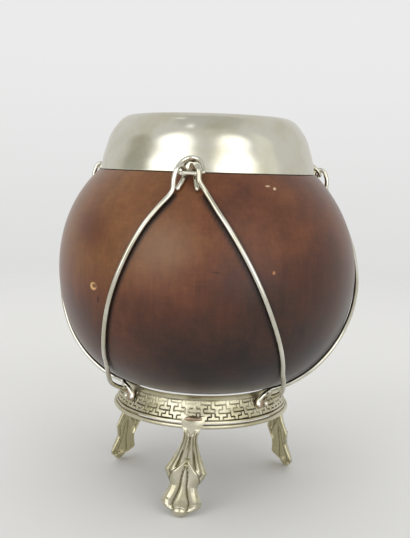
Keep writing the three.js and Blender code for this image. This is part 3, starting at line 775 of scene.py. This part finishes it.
def leaf_front(across, share):
    """The chased front as a height over the plain sheet in millimetres, and how much dark tarnish lies in it.
    Wings, above a curve from the leaf's middle down to the notches, have a rim, two ridges and a bud a side,
    with grooves between them. Below it three lobes, each a flattened arch, are parted by two grooves."""
    beside = np.abs(across)
    curve = share - TIER_SHARE - TIER_FALL * beside**1.1
    wing = 1 - step(curve, -0.012, 0.012)
    border = hump(curve, 0.004, 0.009)

    # The wings open out below the neck, above which their middle groove forks in two
    below_neck = step(share, 0.08, 0.13)
    spread = step(share, 0.16, 0.42)
    fork = 0.55 * np.clip((0.175 - share) / 0.07, 0, 1)
    keel = hump(beside, fork, 0.07)
    slit = hump(beside, *WING_SLIT) * plateau(share, (0.3, 0.36), (0.5, 0.54))
    rim = WING_RIM[0] * hump(beside, *WING_RIM[1:])
    outer = WING_OUTER_RIDGE[0] * hump(beside, WING_OUTER_RIDGE[1] + 0.05 * spread, WING_OUTER_RIDGE[2])
    inner = WING_INNER_RIDGE[0] * hump(beside, WING_INNER_RIDGE[1] + 0.1 * spread, WING_INNER_RIDGE[2])
    ridges = 0.1 + rim + outer + inner * (fork < 0.01)
    bud = WING_BUD[0] * hump(beside, *WING_BUD[1:]) * hump(share, 0.545, 0.017)
    wings = below_neck * (ridges - 0.25 * slit - 0.25 * keel) + bud
    side_grooves = [0.8 * hump(beside, *INNER_GROOVE), 0.9 * hump(beside, *OUTER_GROOVE)]
    grooves = below_neck * np.maximum.reduce([keel, slit, *side_grooves])

    # The middle lobe widens downwards, up to the line that parts it from the lobes beside it
    parting = 0.02 + 0.4 * np.clip((share - 0.45) / 0.45, 0, 1)
    middle_lobe = np.clip(1 - (beside / parting) ** 2, 0, 1)
    side_lobe = np.clip(1 - ((beside - 0.5 - parting / 2) / (0.5 - parting / 2)) ** 2, 0, 1)
    arch = np.where(beside < parting, middle_lobe, side_lobe) ** 0.7
    rib = LOBE_RIB[0] * hump(beside, *LOBE_RIB[1:]) * plateau(share, (0.6, 0.68), (0.8, 0.88))
    end = 1 - step(share, 0.925, 0.955)
    lobes = (LOBE_HEIGHT * arch + rib) * end
    between = hump(beside, parting, 0.05) * end * step(share, 0.46, 0.55)
    pit = hump(beside, SIDE_PIT[0], 0.05) * hump(share, SIDE_PIT[1], 0.008) * (across < 0)
    pit = pit + hump(beside, LOW_PIT[0], 0.05) * hump(share, LOW_PIT[1], 0.008)

    height = wing * wings + (1 - wing) * (lobes - 0.2 * pit) - 0.2 * border
    dark = np.maximum(wing * grooves, (1 - wing) * np.maximum(between, pit))
    return height, np.clip(np.maximum(dark, border), 0, 1)


def foot(azimuth, lean, splay):
    """A leaf as closed sections along its bend: the chased front, the back that follows about half of its
    relief, and a rolled toe, half an egg over each of them. The leaf is cupped by the square of the way
    across, and its top corners rise as ears. It leans as a whole, and its toe splays outwards. Also how much
    dark tarnish lies in it, and which points are on its back."""
    share = np.linspace(0, 1, 260)[:, None]
    turned = np.linspace(0, 2 * np.pi, 168, endpoint=False)[None]
    across = np.cos(turned) * np.ones_like(share)
    front = np.sin(turned) >= 0
    line = smooth_line(LEAF_LINE, 20)
    run = np.concatenate([[0], np.cumsum(np.linalg.norm(np.diff(line, axis=0), axis=1))])
    run /= run[-1]
    tangent = np.gradient(line, axis=0)
    tangent /= np.linalg.norm(tangent, axis=1)[:, None]
    middle = [np.interp(share, run, column) for column in line.T]
    along = [np.interp(share, run, column) for column in tangent.T]
    toe_share = (share - TOE_SHARE) / TOE_REACH
    toe_width = TOE_HALF_WIDTH * np.sqrt(np.clip(1 - toe_share**2, 0, 1))
    width = np.maximum(np.interp(share, *np.array(LEAF_WIDTHS).T), toe_width)
    x = width * across
    edge = (1 - np.abs(across) ** 10) ** 0.5
    tip = 1 - step(share, *LEAF_TIP)
    cup = FOOT_CUP * across**2 * plateau(share, (0.15, 0.4), (0.85, 0.97))
    relief, dark = leaf_front(across, share)
    relief = relief * edge
    egg = TOE_RADIUS * np.sqrt(np.clip(1 - toe_share**2 - (x / TOE_HALF_WIDTH) ** 2, 0, 1))
    front_face = np.maximum(relief * tip, egg)
    back_face = np.minimum(relief * RELIEF_BACK - FOOT_SHEET * tip * edge, -egg * TOE_BACK)
    height = np.where(front, front_face, back_face) - cup
    ear = FOOT_EAR_RISE * across**2 * (1 - step(share, 0, 0.1))
    radius = middle[0] - along[1] * height
    z = middle[1] + along[0] * height + ear
    drop = FOOT_TOP_Z - z
    radius = radius + splay * drop / FOOT_TOP_Z
    leaning = np.radians(lean)
    z = FOOT_TOP_Z - drop * np.cos(leaning) - x * np.sin(leaning)
    x = x * np.cos(leaning) - drop * np.sin(leaning)
    grid = place(azimuth, radius, np.maximum(z, 0), x)
    below_top = step(share, 0.06, 0.16)
    hollow = np.where(front, 0.8 * dark, 0.08 + 0.6 * dark) * below_top
    back = np.where(front, 0.0, 1.0) * below_top
    return grid, hollow, back


# Cast and chased metal is yellower in patches, with brown tarnish in its grooves
foot_metal = white_metal("white_metal_cast_and_chased", bright="#D2CEBB", warm="#ADA682", dark="#574B2A",
                         roughness=(0.16, 0.3))
for name, (azimuth, lean, splay) in FEET.items():
    grid, hollow, back = foot(azimuth, lean, splay)
    leaf = skin(f"foot_{name}_cast_leaf", grid, sharp=50)
    paint(leaf, "hollow", hollow)
    paint(leaf, "back", back)
    fit(leaf, "white_metal", foot_metal, f"foot_{name}")
    solder = bead(azimuth, *FOOT_SOLDER, FOOT_SOLDER_HALF_SIZES, 0.15)
    fit(skin(f"foot_{name}_solder", solder), "white_metal", solder_metal)

# The studio: a pale paper floor that fades out into a pale wall, in a pale room with two tall soft windows
# in front. The camera sees the plain wall, and the polished metal sees the room.
FLOOR_FADE = (0.25, 0.75)
WINDOW_LIGHT = 2.15
SOFTBOX_SIZE = 1.2
SOFTBOX_WATTS = 2.2
SOFTBOX_PLACE = (0, -0.15, 1.3)
# What the room holds, as soft ovals: the ceiling, a pale curtain, a dim corner, the two windows and two
# lamps. Each is the azimuth and elevation of its middle, its half sizes in degrees, how soft it is, its
# colour and its strength.
ROOM = [
    ((0, 90), (720, 24), 0.15, "#C9C9C5", 1.0),
    ((69, 20), (12, 30), 0.3, "#F4F3EC", 1.0),
    ((-84, 14), (19, 20), 0.3, "#B5B4AB", 1.0),
    ((-39.5, 12), (25, 37), 0.3, "#FFFFFF", WINDOW_LIGHT),
    ((30, 12), (23, 36), 0.3, "#FFFFFF", WINDOW_LIGHT),
    ((-106, 71), (6, 4), 0.4, "#FFFFFF", 1.8),
    ((-44, 69), (8, 3), 0.4, "#FFFFFF", 1.5),
]
bpy.ops.mesh.primitive_circle_add(vertices=96, radius=1, fill_type="NGON", location=(0, 0, 0))
floor = bpy.context.object
floor.name = "studio_floor"
# Matt white paper has no gloss and takes a soft shadow
material, tree = new_material("paper_matt_white")
at = add_node(tree, "ShaderNodeTexCoord").outputs["Object"]
distance = add_node(tree, "ShaderNodeVectorMath", {0: at}, operation="LENGTH").outputs["Value"]
fade = add_node(tree, "ShaderNodeMapRange", {"Value": distance, "From Min": FLOOR_FADE[0],
                                             "From Max": FLOOR_FADE[1]}, interpolation_type="SMOOTHSTEP")
paper = add_node(tree, "ShaderNodeBsdfDiffuse", {"Color": colour("#E1E1E0")})
clear = add_node(tree, "ShaderNodeBsdfTransparent")
shader = add_node(tree, "ShaderNodeMixShader", {"Fac": fade.outputs["Result"], 1: paper.outputs["BSDF"],
                                                2: clear.outputs["BSDF"]})
add_node(tree, "ShaderNodeOutputMaterial", {"Surface": shader.outputs["Shader"]})
floor.data.materials.append(material)

world = bpy.data.worlds.new("studio")
scene.world = world
world.use_nodes = True
tree = world.node_tree
tree.nodes.clear()
ray = add_node(tree, "ShaderNodeLightPath").outputs
direction = add_node(tree, "ShaderNodeTexCoord").outputs["Generated"]
split = add_node(tree, "ShaderNodeSeparateXYZ", {"Vector": direction}).outputs
# The wall is lighter higher up
wall = add_node(tree, "ShaderNodeMapRange", {"Value": split["Z"], "From Min": -0.2, "From Max": 0.16},
                interpolation_type="SMOOTHSTEP")
wall = add_node(tree, "ShaderNodeMix", {"Factor": wall.outputs["Result"], "A": colour("#DDDDDC"),
                                        "B": colour("#EBEBEB")}, data_type="RGBA").outputs["Result"]
# The room is laid out by the azimuth and elevation of the direction that a ray looks in
forward = add_node(tree, "ShaderNodeMath", {0: split["Y"], 1: -1.0}, operation="MULTIPLY").outputs[0]
azimuth = add_node(tree, "ShaderNodeMath", {0: split["X"], 1: forward}, operation="ARCTAN2").outputs[0]
azimuth = add_node(tree, "ShaderNodeMath", {0: azimuth}, operation="DEGREES").outputs[0]
elevation = add_node(tree, "ShaderNodeMath", {0: split["Z"]}, operation="ARCSINE").outputs[0]
elevation = add_node(tree, "ShaderNodeMath", {0: elevation}, operation="DEGREES").outputs[0]
looking = add_node(tree, "ShaderNodeCombineXYZ", {"X": azimuth, "Y": elevation}).outputs["Vector"]
room = colour("#DFDEDC")
for middle, half_sizes, soft, code, strength in ROOM:
    away = add_node(tree, "ShaderNodeVectorMath", {0: looking, 1: (*middle, 0)},
                    operation="SUBTRACT").outputs[0]
    away = add_node(tree, "ShaderNodeVectorMath", {0: away, 1: (*half_sizes, 1)},
                    operation="DIVIDE").outputs[0]
    away = add_node(tree, "ShaderNodeVectorMath", {0: away}, operation="LENGTH").outputs["Value"]
    within = add_node(tree, "ShaderNodeMapRange", {"Value": away, "From Min": 1 + soft, "From Max": 1 - soft},
                      interpolation_type="SMOOTHSTEP").outputs["Result"]
    lit = (*(np.array(colour(code)[:3]) * strength), 1.0)
    room = add_node(tree, "ShaderNodeMix", {"Factor": within, "A": room, "B": lit},
                    data_type="RGBA").outputs["Result"]
either = add_node(tree, "ShaderNodeMath", {0: ray["Is Camera Ray"], 1: ray["Is Transmission Ray"]},
                  operation="MAXIMUM").outputs[0]
light = add_node(tree, "ShaderNodeMix", {"Factor": either, "A": room, "B": wall},
                 data_type="RGBA").outputs["Result"]
# Matt surfaces get a tenth more light than the metal mirrors
fill = add_node(tree, "ShaderNodeMath", {0: ray["Is Diffuse Ray"], 1: 0.1, 2: 1.0},
                operation="MULTIPLY_ADD").outputs[0]
shader = add_node(tree, "ShaderNodeBackground", {"Color": light, "Strength": fill})
add_node(tree, "ShaderNodeOutputWorld", {"Surface": shader.outputs["Background"]})

# A soft lamp overhead, which the polished metal doesn't mirror
lamp = bpy.data.lights.new("softbox_overhead", "AREA")
lamp.size = SOFTBOX_SIZE
lamp.energy = SOFTBOX_WATTS
softbox = bpy.data.objects.new("softbox_overhead", lamp)
softbox.location = SOFTBOX_PLACE
softbox.visible_glossy = False
scene.collection.objects.link(softbox)

scene.view_settings.view_transform = "Standard"
